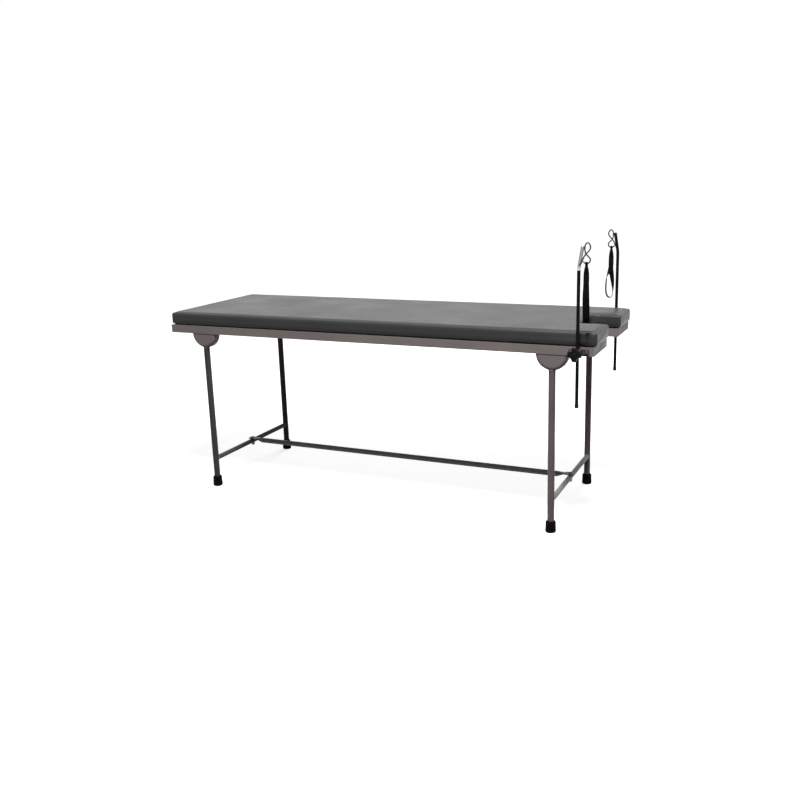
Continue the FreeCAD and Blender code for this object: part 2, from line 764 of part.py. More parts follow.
def make_rod(name, side):
    """The straight rod that leans towards its hook at the top, and the cap on its lower end."""
    place = side_place(side)
    rod = new_body(f"lithotomy_rod_{name}", z=s.clamp_height, **place)
    section = new_sketch(rod, "XY", -s.rod_below)
    add_circle(section, 0, 0, s.rod_radius)
    line = new_sketch(rod, "XZ")
    add_path(line, [(0, -s.rod_below), (0, s.rod_bend_height, s.rod_bend_radius),
                    (s.rod_lean, s.rod_top_height)], closed=False)
    pipe = rod.newObject("PartDesign::AdditivePipe", f"{rod.Name}_pipe")
    pipe.Profile = section
    pipe.Spine = (line, ["Edge1", "Edge2", "Edge3"])
    top = float(s.rod_top_height)
    round_edges(rod, pipe, s.rod_tip_edge, lambda edge: edge.BoundBox.ZMin > top - 2 * float(s.rod_radius))

    cap = new_body(f"rod_end_cap_{name}", z=s.clamp_height - s.rod_below - s.cap_floor - s.weld_gap, **place)
    bore = s.rod_radius + s.running_gap
    outline = new_sketch(cap, "XZ")
    add_path(outline, [(0, 0), (bore + s.cap_wall, 0, s.cap_wall), (bore + s.cap_wall, s.cap_length),
                       (bore, s.cap_length), (bore, s.cap_floor), (0, s.cap_floor)])
    revolve(cap, outline)


def beside_rod(height, angle=0.0):
    """Where the middle of a wire lies that is welded to the rod, at an angle from the hook's side."""
    slope = float(s.rod_lean / (s.rod_top_height - s.rod_bend_height))
    lean = max(0.0, slope * (height - float(s.rod_bend_height)))
    reach = float(s.rod_radius) * math.sqrt(1 + slope ** 2) + float(s.wire_radius + s.weld_gap)
    turn = math.radians(angle)
    return FreeCAD.Vector(lean + reach * math.cos(turn), reach * math.sin(turn), height)


def on_oval(middle, height, half_width, half_height, angles):
    """Points on an oval in the hook's plane, at angles in degrees from its outer side."""
    turns = [math.radians(angle) for angle in angles]
    return [FreeCAD.Vector(middle + half_width * math.cos(turn), 0, height + half_height * math.sin(turn))
            for turn in turns]


def make_hook(name, side):
    """One wire: its tail is welded round the rod, then it makes the upper and the lower loop."""
    bottom = float(s.hook_bottom)
    crossing = bottom + float(s.lower_loop_height)
    top = crossing + float(s.upper_loop_height)
    low_centre = bottom + float(s.lower_loop_height) * LOWER_LOOP_CENTRE
    high_centre = crossing + float(s.upper_loop_height) * UPPER_LOOP_CENTRE
    aside = FreeCAD.Vector(0, float(s.wire_radius + s.wire_cross_gap), 0)
    cross = FreeCAD.Vector(float(s.hook_crossing), 0, crossing)
    middle = float(s.hook_middle)
    low_half = middle - beside_rod(low_centre).x
    high_half = (float(s.upper_loop_reach) - beside_rod(high_centre).x) / 2
    high_middle = float(s.upper_loop_reach) - high_half
    tail = [beside_rod(bottom - float(s.hook_tail), TAIL_START),
            beside_rod(bottom + low_half * TAIL_RISE, TAIL_MIDDLE),
            beside_rod(low_centre, TAIL_END)]
    high = on_oval(high_middle, high_centre, high_half, top - high_centre, UPPER_LOOP_ANGLES)
    low = on_oval(middle, low_centre, low_half, low_centre - bottom, LOWER_LOOP_ANGLES)
    end = FreeCAD.Vector(middle - low_half * WIRE_END_BACK, float(aside.y), bottom + low_half * WIRE_END_RISE)
    curve = Part.BSplineCurve()
    curve.interpolate([*tail, cross - aside, *high, cross + aside, *low, end])
    ring = Part.makeCircle(float(s.wire_radius), curve.value(0), curve.tangent(0)[0])
    hook = document.addObject("Part::Feature", f"strap_hook_{name}")
    hook.Label = f"strap_hook_{name}"
    hook.Shape = Part.Wire([curve.toShape()]).makePipeShell([Part.Wire([ring])], True, False)
    set_place(hook, z=s.clamp_height, **side_place(side))
    nodes.append(hook)


def make_strap(name, side):
    """A webbing strap: an eye round the wire, a sewn double stem, and the loop for the ankle.

    The right strap's loop opens to the front. The left one hangs with a quarter twist, so its loop
    opens along the table.
    """
    body = new_body(f"ankle_strap_{name}", z=s.clamp_height, **side_place(side))
    axis = s.hook_bottom - s.wire_radius + s.eye_radius - s.soft_gap
    middle, thick, half = s.hook_middle, s.strap_thickness, s.strap_width / 2
    eye_half, stem_half = s.eye_width / 2, s.stem_thickness / 2
    stem_top = axis - s.eye_radius - thick / 2
    fork = axis - s.stem_length
    stem = new_sketch(body, "XZ")
    add_path(stem, [(middle - eye_half, stem_top), (middle - half, stem_top - s.stem_taper),
                    (middle - half, fork), (middle + half, fork),
                    (middle + half, stem_top - s.stem_taper), (middle + eye_half, stem_top)])
    pad(body, stem, s.stem_thickness, both_ways=True)
    low, shoulder = axis - s.strap_drop, fork - s.strap_shoulder
    if side < 0:
        loop = new_sketch(body, "YZ", middle)
        near, far = -s.strap_outer_reach, s.strap_inner_reach
        root_near, root_far = -stem_half, stem_half
    else:
        loop = new_sketch(body, "XZ")
        near = s.rod_radius + s.strap_rod_clearance
        far = near + s.strap_loop_width
        root_near, root_far = middle - half, middle + half
    bend, spread = s.strap_bend, s.strap_bend * 2
    add_path(loop, [(root_near, fork), (near, shoulder, spread), (near, low, bend), (far, low, bend),
                    (far, shoulder, spread), (root_far, fork)])
    left, right, high = near + thick, far - thick, shoulder - thick
    add_path(loop, [((root_near + root_far) / 2, fork - thick * 2), (left, high, spread - thick),
                    (left, low + thick, bend - thick), (right, low + thick, bend - thick),
                    (right, high, spread - thick)])
    pad(body, loop, s.strap_width, both_ways=True)
    eye = new_sketch(body, "YZ", middle)
    add_circle(eye, 0, axis, s.eye_radius + thick)
    pad(body, eye, s.eye_width, both_ways=True)
    hole = new_sketch(body, "YZ", middle)
    add_circle(hole, 0, axis, s.eye_radius)
    pocket(body, hole)


def check_model():
    """Stop if anything failed to build, or if a cut took nothing away."""
    for item in document.Objects:
        if "Invalid" in item.State or "Error" in item.State:
            raise RuntimeError(f"{item.Label} did not build: {item.State}")
        if item.TypeId == "PartDesign::Pocket" and item.BaseFeature:
            if item.Shape.Volume > item.BaseFeature.Shape.Volume - 1e-3:
                raise RuntimeError(f"{item.Label} cuts nothing")
    for node in nodes:
        if node.Shape.isNull() or not node.Shape.isValid() or not node.Shape.Solids:
            raise RuntimeError(f"{node.Label} has no valid solid")


s = Sizes(fill_sheet())
make_frame()
make_deck_members()
make_pad()
for end_name, end in ENDS.items():
    leg_x = signed(s.leg_end, end)
    for side_name, side in SIDES.items():
        leg_y = signed(s.leg_side, side)
        make_leg(f"leg_{end_name}_{side_name}", leg_x, leg_y)
        make_gusset(f"gusset_{end_name}_{side_name}", leg_x, leg_y, 0.0 if side < 0 else 180.0)
        make_rubber_foot(f"rubber_foot_{end_name}_{side_name}", leg_x, leg_y)
    make_cross_bar(f"cross_bar_{end_name}", leg_x)
make_stretcher()
make_stretcher_fasteners()
for side_name, side in SIDES.items():
    make_rod_clamp(side_name, side)
    make_clamp_screws(side_name, side)
    make_clamp_drive(side_name, side)
    make_rod(side_name, side)
    make_hook(side_name, side)
    make_strap(side_name, side)

document.recompute()
check_model()
os.makedirs("parts", exist_ok=True)
for node in nodes:
    node.Shape.exportStep(f"parts/{node.Label}.step")
print(f"{len(nodes)} nodes written")
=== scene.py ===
import math

import bpy
from mathutils import Matrix, Vector, noise


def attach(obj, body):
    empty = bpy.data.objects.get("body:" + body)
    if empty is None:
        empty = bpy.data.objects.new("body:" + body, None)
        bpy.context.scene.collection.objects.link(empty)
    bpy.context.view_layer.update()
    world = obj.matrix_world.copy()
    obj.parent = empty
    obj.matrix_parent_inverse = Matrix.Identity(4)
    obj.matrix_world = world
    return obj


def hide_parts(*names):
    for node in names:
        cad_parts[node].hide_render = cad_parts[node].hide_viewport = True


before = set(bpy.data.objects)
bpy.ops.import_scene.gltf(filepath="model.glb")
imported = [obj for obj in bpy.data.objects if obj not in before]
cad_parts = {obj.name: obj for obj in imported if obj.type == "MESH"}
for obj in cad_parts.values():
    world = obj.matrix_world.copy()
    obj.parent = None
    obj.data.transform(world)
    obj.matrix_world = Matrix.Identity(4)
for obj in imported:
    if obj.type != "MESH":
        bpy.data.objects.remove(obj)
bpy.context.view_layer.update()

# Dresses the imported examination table: pad, webbing, welds, stitches, materials, light and camera.
# Lengths are in metres and colours are linear. The near side, at -Y, is the patient's right.

SIDES = {"right": -1, "left": 1}
ENDS = {"head": -1, "foot": 1}
X_AXIS, Z_AXIS = Vector((1, 0, 0)), Vector((0, 0, 1))
FULL_TURN, QUARTER_TURN = 2 * math.pi, math.pi / 2
STEEP = 0.9

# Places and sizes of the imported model
PAD_END, PAD_SIDE = 0.915, 0.300
NOTCH_END, NOTCH_SIDE = 0.800, 0.095
PAD_BOTTOM, PAD_TOP = 0.7073, 0.762
BOARD_TOP = 0.719
LEG_X, LEG_Y, LEG_RADIUS = 0.750, 0.281, 0.0127
RAIL_BOTTOM = 0.675
BAR_Z, BAR_RADIUS = 0.123, 0.010
GUSSET_RADIUS, GUSSET_FRONT = 0.060, 0.0146
ROD_X, ROD_Y, CLAMP_Z = 0.849, 0.316, 0.691
HOOK_MIDDLE, EYE_HEIGHT = 0.026, 0.3072
ROD_FINISH_TOP = 0.975

# Camera fitted to the photograph
FOCAL_PIXELS, IMAGE_PIXELS = 889.87, 800
CENTRE_PIXEL = (422.28, 390.84)
CAMERA_PLACE = Vector((1.5890, -3.2867, 1.3117))
CAMERA_YAW, CAMERA_PITCH, CAMERA_ROLL = (math.radians(angle) for angle in (-24.135, 13.833, -1.491))
SENSOR_WIDTH = 36.0


def beside_rod(side, along, out, up):
    """A place given from the axis of a rod at the height of its clamp, turned as that rod is."""
    return Vector((ROD_X - side * along, side * (ROD_Y - out), CLAMP_Z + up))


def mesh_object(name, points, faces):
    """A new smooth shaded mesh object from its points and faces."""
    mesh = bpy.data.meshes.new(name)
    mesh.from_pydata([tuple(point) for point in points], [], faces)
    mesh.update()
    mesh.shade_smooth()
    piece = bpy.data.objects.new(name, mesh)
    bpy.context.scene.collection.objects.link(piece)
    return piece


def tube_faces(rows, around, closed=False):
    """Faces between rows of points, each a ring: the tube closes on itself or is capped at both ends."""
    faces = []
    for row in range(rows if closed else rows - 1):
        after = (row + 1) % rows
        for k in range(around):
            ahead = (k + 1) % around
            faces.append((row * around + k, row * around + ahead, after * around + ahead, after * around + k))
    if not closed:
        faces.append(tuple(reversed(range(around))))
        faces.append(tuple(range((rows - 1) * around, rows * around)))
    return faces


def ring(middle, run, radius, around):
    """Points evenly round a middle, in the plane square to a run."""
    aside = run.cross(Z_AXIS if abs(run.normalized().z) < STEEP else X_AXIS).normalized()
    above = run.cross(aside).normalized()
    turns = [k / around * FULL_TURN for k in range(around)]
    return [middle + (aside * math.cos(turn) + above * math.sin(turn)) * radius for turn in turns]


def joined(parts):
    """One list of points and faces from several."""
    points, faces = [], []
    for more_points, more_faces in parts:
        start = len(points)
        points += more_points
        faces += [tuple(start + i for i in face) for face in more_faces]
    return points, faces


def wear(piece, material):
    """Give a piece one material."""
    piece.data.materials.clear()
    piece.data.materials.append(material)


def ride(piece, body, material):
    """Set a new piece on its body with its finish."""
    wear(piece, material)
    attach(piece, body)


class Graph:
    """A node tree, with short calls for the nodes that are used here."""

    def __init__(self, tree):
        self.nodes = tree.nodes
        self.links = tree.links

    def add(self, kind, **values):
        """A node with some of its properties set."""
        node = self.nodes.new(kind)
        for key, value in values.items():
            setattr(node, key, value)
        return node

    def set(self, socket, value):
        """Link an output to a socket, or set a plain value there."""
        if isinstance(value, bpy.types.NodeSocket):
            self.links.new(value, socket)
        else:
            socket.default_value = value

    def math(self, operation, first, second=0.0):
        """The result of a Math node."""
        node = self.add("ShaderNodeMath", operation=operation)
        self.set(node.inputs[0], first)
        self.set(node.inputs[1], second)
        return node.outputs[0]

    def spread(self, value, low, high, to_low=0.0, to_high=1.0):
        """A value carried from one range to another, and clamped."""
        node = self.add("ShaderNodeMapRange")
        self.set(node.inputs["Value"], value)
        numbers = {"From Min": low, "From Max": high, "To Min": to_low, "To Max": to_high}
        for socket, number in numbers.items():
            node.inputs[socket].default_value = number
        return node.outputs["Result"]

    def part(self, vector, axis):
        """One coordinate of a vector."""
        node = self.add("ShaderNodeSeparateXYZ")
        self.set(node.inputs[0], vector)
        return node.outputs[axis]

    def seen_ray(self):
        """1 for rays from the camera, in reflections and through glass, else 0."""
        rays = self.add("ShaderNodeLightPath")
        total = rays.outputs["Is Camera Ray"]
        for name in ("Is Glossy Ray", "Is Transmission Ray"):
            total = self.math("ADD", total, rays.outputs[name])
            total.node.use_clamp = True
        return total


class Finish(Graph):
    """A procedural material: nodes in the object's own coordinates on one principled shader."""

    def __init__(self, name, roughness, metallic=0.0, specular=0.5):
        self.material = bpy.data.materials.new(name)
        self.material.use_nodes = True
        super().__init__(self.material.node_tree)
        self.shader = self.nodes["Principled BSDF"]
        self.shader.inputs["Roughness"].default_value = roughness
        self.shader.inputs["Metallic"].default_value = metallic
        self.shader.inputs["Specular IOR Level"].default_value = specular
        self.place = self.add("ShaderNodeTexCoord").outputs["Object"]

    def stretched(self, scale):
        """The object's coordinates with each axis scaled."""
        node = self.add("ShaderNodeMapping")
        self.set(node.inputs["Vector"], self.place)
        node.inputs["Scale"].default_value = scale
        return node.outputs[0]

    def noise(self, scale, detail=3.0, roughness=0.5, place=None):
        """Cloudy noise from 0 to 1."""
        node = self.add("ShaderNodeTexNoise")
        self.set(node.inputs["Vector"], place or self.place)
        node.inputs["Scale"].default_value = scale
        node.inputs["Detail"].default_value = detail
        node.inputs["Roughness"].default_value = roughness
        return node.outputs["Fac"]

    def cells(self, scale):
        """The distance to the edges of random cells."""
        node = self.add("ShaderNodeTexVoronoi", feature="DISTANCE_TO_EDGE")
        self.set(node.inputs["Vector"], self.place)
        node.inputs["Scale"].default_value = scale
        return node.outputs["Distance"]

    def between(self, share, first, second):
        """A colour between two, by a share."""
        node = self.add("ShaderNodeMix", data_type="RGBA")
        self.set(node.inputs["Factor"], share)
        for socket, color in (("A", first), ("B", second)):
            target = next(item for item in node.inputs if item.name == socket and item.type == "RGBA")
            self.set(target, color if isinstance(color, bpy.types.NodeSocket) else (*color, 1.0))
        return next(item for item in node.outputs if item.type == "RGBA")

    def scaled(self, value, factor):
        """A value times a factor."""
        return self.math("MULTIPLY", value, factor)

    def color(self, value):
        """The colour of the surface."""
        self.set(self.shader.inputs["Base Color"], value)

    def roughness(self, value):
        """The roughness of the surface."""
        self.set(self.shader.inputs["Roughness"], value)

    def bump(self, height, distance, strength):
        """Relief from a height of 0 to 1 that stands for a distance."""
        node = self.add("ShaderNodeBump")
        self.set(node.inputs["Height"], height)
        node.inputs["Distance"].default_value = distance
        node.inputs["Strength"].default_value = strength
        self.set(self.shader.inputs["Normal"], node.outputs["Normal"])


def vinyl():
    """Dark grey coated fabric: fine leather grain, slow changes of tone, and painted shade that darkens its
    lower edge.
    """
    dark, light = (0.038, 0.0362, 0.0365), (0.052, 0.0498, 0.0502)
    painted_shade_tone, painted_shade_share = (0.009, 0.007, 0.0065), 0.75
    edge_start, edge_full = PAD_BOTTOM + 0.026, PAD_BOTTOM + 0.004
    finish = Finish("vinyl_grey", 0.34, specular=0.16)
    clouds = finish.noise(2.2, 4.0, 0.55)
    streaks = finish.noise(1.0, 3.0, 0.6, finish.stretched((3.0, 22.0, 22.0)))
    cover = finish.between(finish.spread(finish.math("ADD", clouds, streaks), 0.7, 1.3), dark, light)
    # Painted shade: the colour darkens towards the pad's lower edge, from 26 mm above its bottom down to 4 mm
    # above it.
    edge = finish.spread(finish.part(finish.place, "Z"), edge_start, edge_full, 0.0, painted_shade_share)
    finish.color(finish.between(edge, cover, painted_shade_tone))
    grain = finish.spread(finish.cells(780.0), 0.0, 0.32)
    pores = finish.noise(2600.0, 2.0)
    drape = finish.noise(9.0, 2.0)
    height = finish.math("ADD", finish.scaled(grain, 0.5), finish.scaled(pores, 0.2))
    finish.bump(finish.math("ADD", height, finish.scaled(drape, 2.0)), 0.00022, 0.6)
    finish.roughness(finish.spread(finish.noise(5.0, 5.0), 0.3, 0.7, 0.29, 0.38))
    return finish.material


def tube_paint(name, dark, light, specular=0.2):
    """Baked satin paint on steel tube: slight orange peel, cloudy tone, small specks and rubbed patches."""
    worn_tone = tuple(value * 0.62 for value in dark)
    speck_share, worn_share = 0.25, 0.35
    finish = Finish(name, 0.42, specular=specular)
    base = finish.between(finish.spread(finish.noise(6.0, 5.0, 0.6), 0.3, 0.7), dark, light)
    specks = finish.scaled(finish.spread(finish.noise(900.0, 1.0), 0.66, 0.72), speck_share)
    worn = finish.scaled(finish.spread(finish.noise(34.0, 6.0, 0.7), 0.66, 0.74), worn_share)
    finish.color(finish.between(finish.math("MAXIMUM", specks, worn), base, worn_tone))
    peel = finish.noise(420.0, 2.0)
    waves = finish.noise(60.0, 2.0)
    finish.bump(finish.math("ADD", peel, finish.scaled(waves, 0.6)), 0.00009, 0.5)
    finish.roughness(finish.spread(finish.noise(22.0, 4.0), 0.3, 0.7, 0.36, 0.52))
    return finish.material


def rod_steel(name, painted_reflection_tip):
    """A black finished rod; with the tip option, the part above the bend is lighter bare steel as a painted
    reflection, with a painted highlight ring where the black ends.
    """
    black = (0.003, 0.003, 0.0033), (0.009, 0.009, 0.009)
    steel, highlight_tone = ((0.24, 0.24, 0.24), (0.36, 0.36, 0.355)), (0.55, 0.55, 0.55)
    edge_width, edge_wander = 0.0012, 0.002
    highlight_end, highlight_start = ROD_FINISH_TOP + 0.012, ROD_FINISH_TOP + 0.007
    finish = Finish(name, 0.36, specular=0.05)
    up = finish.part(finish.place, "Z")
    scratches = finish.noise(1.0, 4.0, 0.65, finish.stretched((900.0, 900.0, 26.0)))
    color = finish.between(finish.spread(scratches, 0.35, 0.8), *black)
    # Painted reflection and highlight: the tip above the bend turns to lighter bare steel, and a pale ring is
    # painted where the black ends.
    if painted_reflection_tip:
        edge = finish.math("ADD", up, finish.scaled(finish.noise(220.0, 2.0), edge_wander))
        bare = finish.spread(edge, ROD_FINISH_TOP, ROD_FINISH_TOP + edge_width)
        painted_highlight_ring = finish.math("MULTIPLY", bare, finish.spread(up, highlight_end, highlight_start))
        tip = finish.between(finish.spread(scratches, 0.3, 0.8), *steel)
        color = finish.between(bare, color, finish.between(painted_highlight_ring, tip, highlight_tone))
        finish.set(finish.shader.inputs["Metallic"], bare)
    finish.color(color)
    finish.roughness(finish.spread(scratches, 0.3, 0.8, 0.26, 0.44))
    finish.bump(scratches, 0.00002, 0.4)
    return finish.material


def bare_steel(name, dark, light, roughness, grain):
    """Plated or bare steel with turning marks and cloudy tarnish."""
    finish = Finish(name, roughness, metallic=1.0)
    marks = finish.noise(1.0, 3.0, 0.6, finish.stretched(grain))
    cloud = finish.noise(70.0, 5.0, 0.65)
    finish.color(finish.between(finish.spread(finish.math("ADD", marks, cloud), 0.7, 1.35), dark, light))
    finish.roughness(finish.spread(cloud, 0.3, 0.7, roughness - 0.08, roughness + 0.1))
    finish.bump(marks, 0.00003, 0.5)
    return finish.material


def black_moulding(name, base, roughness, specular, grain, dust=False):
    """Moulded black plastic or rubber: fine texture and scuffs, and dust where it stands on the floor."""
    plain, scuffed, dusty = (base,) * 3, (base * 3,) * 3, (0.10, 0.095, 0.088)
    dust_height = 0.012
    finish = Finish(name, roughness, specular=specular)
    scuffs = finish.noise(1.0, 5.0, 0.7, finish.stretched((60.0, 60.0, 160.0)))
    color = finish.between(finish.scaled(finish.spread(scuffs, 0.58, 0.76), 0.5), plain, scuffed)
    if dust:
        low = finish.spread(finish.part(finish.place, "Z"), dust_height, 0.0)
        amount = finish.math("MULTIPLY", low, finish.spread(finish.noise(180.0, 4.0), 0.35, 0.65))
        color = finish.between(finish.scaled(amount, 0.6), color, dusty)
    finish.color(color)
    finish.roughness(finish.spread(finish.noise(45.0, 4.0), 0.3, 0.7, roughness - 0.06, roughness + 0.1))
    finish.bump(finish.noise(grain, 2.0), 0.00006, 0.6)
    return finish.material


def plywood():
    """Birch plywood with long grain and faint growth rings, its edges sealed with black paint."""
    dark, light, pore_tone = (0.40, 0.27, 0.15), (0.58, 0.44, 0.27), (0.26, 0.17, 0.09)
    edge_paint = (0.012, 0.011, 0.011)
    finish = Finish("plywood", 0.6, specular=0.3)
    long_grain = finish.noise(1.0, 6.0, 0.65, finish.stretched((2.5, 60.0, 60.0)))
    pores = finish.noise(1.0, 2.0, 0.5, finish.stretched((60.0, 900.0, 900.0)))
    rings = finish.add("ShaderNodeTexWave", bands_direction="Y")
    finish.set(rings.inputs["Vector"], finish.stretched((0.4, 6.0, 6.0)))
    rings.inputs["Scale"].default_value = 2.2
    rings.inputs["Distortion"].default_value = 9.0
    rings.inputs["Detail"].default_value = 3.0
    growth = finish.math("ADD", long_grain, finish.scaled(rings.outputs["Fac"], 0.5))
    wood = finish.between(finish.spread(growth, 0.5, 1.1), dark, light)
    wood = finish.between(finish.spread(pores, 0.62, 0.75), wood, pore_tone)
    facing = finish.part(finish.add("ShaderNodeNewGeometry").outputs["Normal"], "Z")
    flat = finish.spread(finish.math("ABSOLUTE", facing), 0.4, 0.6)
    finish.color(finish.between(flat, edge_paint, wood))
    finish.bump(finish.math("ADD", long_grain, pores), 0.0002, 0.5)
    return finish.material


def webbing():
    """Black woven tape: ribs across it, warp yarns along it and thicker yarns at both edges."""
    warp_pitch, rib_pitch = 0.0014, 0.0019
    edge_start, edge_full = 0.0016, 0.0008
    finish = Finish("webbing_black", 0.85, specular=0.02)
    lay = finish.add("ShaderNodeAttribute", attribute_name="lay").outputs["Vector"]
    across, along, half = (finish.part(lay, axis) for axis in "XYZ")
    yarn = finish.math("SINE", finish.scaled(across, FULL_TURN / warp_pitch))
    stagger = finish.scaled(finish.math("SIGN", yarn), QUARTER_TURN)
    rib = finish.math("SINE", finish.math("ADD", finish.scaled(along, FULL_TURN / rib_pitch), stagger))
    lift = finish.math("ADD", finish.scaled(rib, 0.5), 0.5)
    weave = finish.math("MULTIPLY", finish.math("ABSOLUTE", yarn), lift)
    from_edge = finish.math("SUBTRACT", half, finish.math("ABSOLUTE", across))
    selvage = finish.scaled(finish.spread(from_edge, edge_start, edge_full), 0.9)
    height = finish.math("MAXIMUM", weave, selvage)
    fuzz = finish.noise(1500.0, 3.0, 0.7)
    tone = finish.spread(finish.math("ADD", finish.scaled(height, 0.7), fuzz), 0.3, 1.4)
    finish.color(finish.between(tone, (0.002, 0.002, 0.0022), (0.011, 0.0105, 0.011)))
    finish.bump(finish.math("ADD", height, finish.scaled(fuzz, 0.3)), 0.00035, 0.8)
    finish.shader.inputs["Sheen Weight"].default_value = 0.02
    finish.shader.inputs["Sheen Roughness"].default_value = 0.5
    return finish.material


def thread():
    """Waxed black sewing thread with its twist."""
    finish = Finish("thread_black", 0.55, specular=0.25)
    twist = finish.noise(2400.0, 2.0)
    finish.color(finish.between(twist, (0.012, 0.012, 0.012), (0.055, 0.053, 0.052)))
    finish.bump(twist, 0.0001, 0.6)
    return finish.material


EVEN_GRAIN, TURNED_GRAIN = (300.0, 300.0, 300.0), (120.0, 1200.0, 1200.0)

MATERIALS = {
    "pad": vinyl(),
    "frame": tube_paint("frame_paint", (0.200, 0.173, 0.168), (0.246, 0.214, 0.208)),
    # Painted shade: the legs wear darker copies of the frame's paint, the head legs much darker, for the
    # dimmer light that reaches them.
    "leg_head": tube_paint("leg_paint_head_painted_shade", (0.050, 0.042, 0.043), (0.072, 0.061, 0.062), 0.08),
    "leg_foot": tube_paint("leg_paint_foot_painted_shade", (0.155, 0.121, 0.123), (0.198, 0.156, 0.159), 0.15),
    # Painted light: the long stretcher and the foot cross bar wear a lighter copy of the frame's paint,
    # against the table's shadow over them. Painted shade: the head cross bar wears a near-black copy.
    "bars": tube_paint("bar_paint", (0.290, 0.285, 0.286), (0.370, 0.364, 0.365)),
    "bar_head": tube_paint("bar_paint_head_painted_shade", (0.050, 0.048, 0.048), (0.072, 0.070, 0.070), 0.08),
    "clamp": tube_paint("clamp_paint", (0.060, 0.050, 0.047), (0.085, 0.073, 0.069)),
    # The right rod carries the painted reflection and highlight at its tip; the left rod stays black to its
    # top.
    "rod_right": rod_steel("rod_finish_right_painted_reflection", painted_reflection_tip=True),
    "rod_left": rod_steel("rod_finish_left", painted_reflection_tip=False),
    "hook": bare_steel("hook_wire", (0.035, 0.035, 0.035), (0.085, 0.083, 0.082), 0.34, EVEN_GRAIN),
    "zinc": bare_steel("zinc_steel", (0.30, 0.30, 0.29), (0.46, 0.46, 0.45), 0.36, TURNED_GRAIN),
    "bolt": bare_steel("bolt_steel", (0.050, 0.048, 0.047), (0.130, 0.125, 0.122), 0.42, TURNED_GRAIN),
    "foot": black_moulding("foot_rubber", 0.004, 0.7, 0.03, 700.0, dust=True),
    "knob": black_moulding("knob_plastic", 0.006, 0.45, 0.06, 1200.0),
    "cap": black_moulding("cap_plastic", 0.008, 0.45, 0.14, 1000.0),
    "board": plywood(),
    "webbing": webbing(),
    "thread": thread(),
}

# Starts of the CAD nodes' names, each with its material; the other nodes wear the frame's paint
NODE_MATERIALS = {
    "rubber_foot": "foot", "long_stretcher": "bars", "cross_bar_foot": "bars", "cross_bar_head": "bar_head",
    "leg_head": "leg_head", "leg_foot": "leg_foot", "stretcher_": "bolt", "pad_screws": "zinc",
    "pad_board": "board", "mattress": "pad", "rod_clamp": "clamp", "clamp_screws": "bolt",
    "pressure_shoe": "zinc", "clamp_stud": "zinc", "star_knob": "knob", "lithotomy_rod_right": "rod_right",
    "lithotomy_rod_left": "rod_left", "rod_end_cap": "cap", "strap_hook": "hook", "ankle_strap": "webbing"}


def material_of(node):
    """The material of a CAD node, by the start of its name."""
    for start, key in NODE_MATERIALS.items():
        if node.startswith(start):
            return MATERIALS[key]
    return MATERIALS["frame"]


def dress_frame():
    """Give every CAD node its material."""
    for node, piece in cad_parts.items():
        if not piece.material_slots:
            piece.data.materials.append(None)
        for slot in piece.material_slots:
            slot.material = material_of(node)


# Pad

END_ROUND, PRONG_ROUND, NOTCH_ROUND = 0.014, 0.012, 0.026
PAD_CORNERS = (
    # across X, across Y, radius, and 1 for an outer corner or -1 for one of the notch's inner corners
    (-PAD_END, -PAD_SIDE, END_ROUND, 1), (PAD_END, -PAD_SIDE, END_ROUND, 1),
    (PAD_END, -NOTCH_SIDE, PRONG_ROUND, 1), (NOTCH_END, -NOTCH_SIDE, NOTCH_ROUND, -1),
    (NOTCH_END, NOTCH_SIDE, NOTCH_ROUND, -1), (PAD_END, NOTCH_SIDE, PRONG_ROUND, 1),
    (PAD_END, PAD_SIDE, END_ROUND, 1), (-PAD_END, PAD_SIDE, END_ROUND, 1))
LEAST_ROUND = 0.001
CORNER_STEPS, EDGE_STEPS = 8, 6
BOTTOM_EDGE, TOP_EDGE = 0.007, 0.008
BOTTOM_INSET, TOP_INSET = 0.020, 0.030
PAD_VOXEL = 0.0056
PAD_SWELL, QUICK_SWELL = 0.004, 0.02
SWELL_START = 0.012
UNEVEN_SHARE, UNEVEN_SCALE = 0.22, 7.0
EVENING_ROUNDS = 6
CLOTH_FRAMES, CLOTH_QUALITY, CLOTH_PRESSURE = 12, 4, 4.0
PINNED_HEIGHT = 0.003
RECESS_MARGIN, BOARD_GAP = 0.007, 0.0006


def pad_outline(inset):
    """The pad's plan drawn in by an inset, with each corner rounded."""
    count = len(PAD_CORNERS)
    moved = []
    for i, (x, y, radius, outer) in enumerate(PAD_CORNERS):
        before, after = Vector(PAD_CORNERS[i - 1][:2]), Vector(PAD_CORNERS[(i + 1) % count][:2])
        here = Vector((x, y))
        steps = (here - before).normalized(), (after - here).normalized()
        inward = [Vector((-step.y, step.x)) for step in steps]
        moved.append((here + (inward[0] + inward[1]) * inset, max(radius - outer * inset, LEAST_ROUND)))
    outline = []
    for i, (corner, radius) in enumerate(moved):
        back = (moved[i - 1][0] - corner).normalized()
        ahead = (moved[(i + 1) % count][0] - corner).normalized()
        centre = corner + (back + ahead) * radius
        start = -ahead * radius
        for step in range(CORNER_STEPS + 1):
            turn = step / CORNER_STEPS * QUARTER_TURN
            outline.append(centre + start * math.cos(turn) - back * radius * math.sin(turn))
    return outline


def pad_profile():
    """Inset and height round the pad's section, from under its edge up to its top."""
    low, high = PAD_BOTTOM, PAD_TOP - PAD_SWELL
    turns = [i / EDGE_STEPS * QUARTER_TURN for i in range(EDGE_STEPS + 1)]
    rows = [(BOTTOM_INSET, low)]
    for turn in turns:
        inset = PAD_SWELL + BOTTOM_EDGE * (1 - math.sin(turn))
        rows.append((inset, low + BOTTOM_EDGE * (1 - math.cos(turn))))
    for turn in turns:
        inset = PAD_SWELL + TOP_EDGE * (1 - math.cos(turn))
        rows.append((inset, high - TOP_EDGE * (1 - math.sin(turn))))
    rows.append((TOP_INSET, high))
    return rows


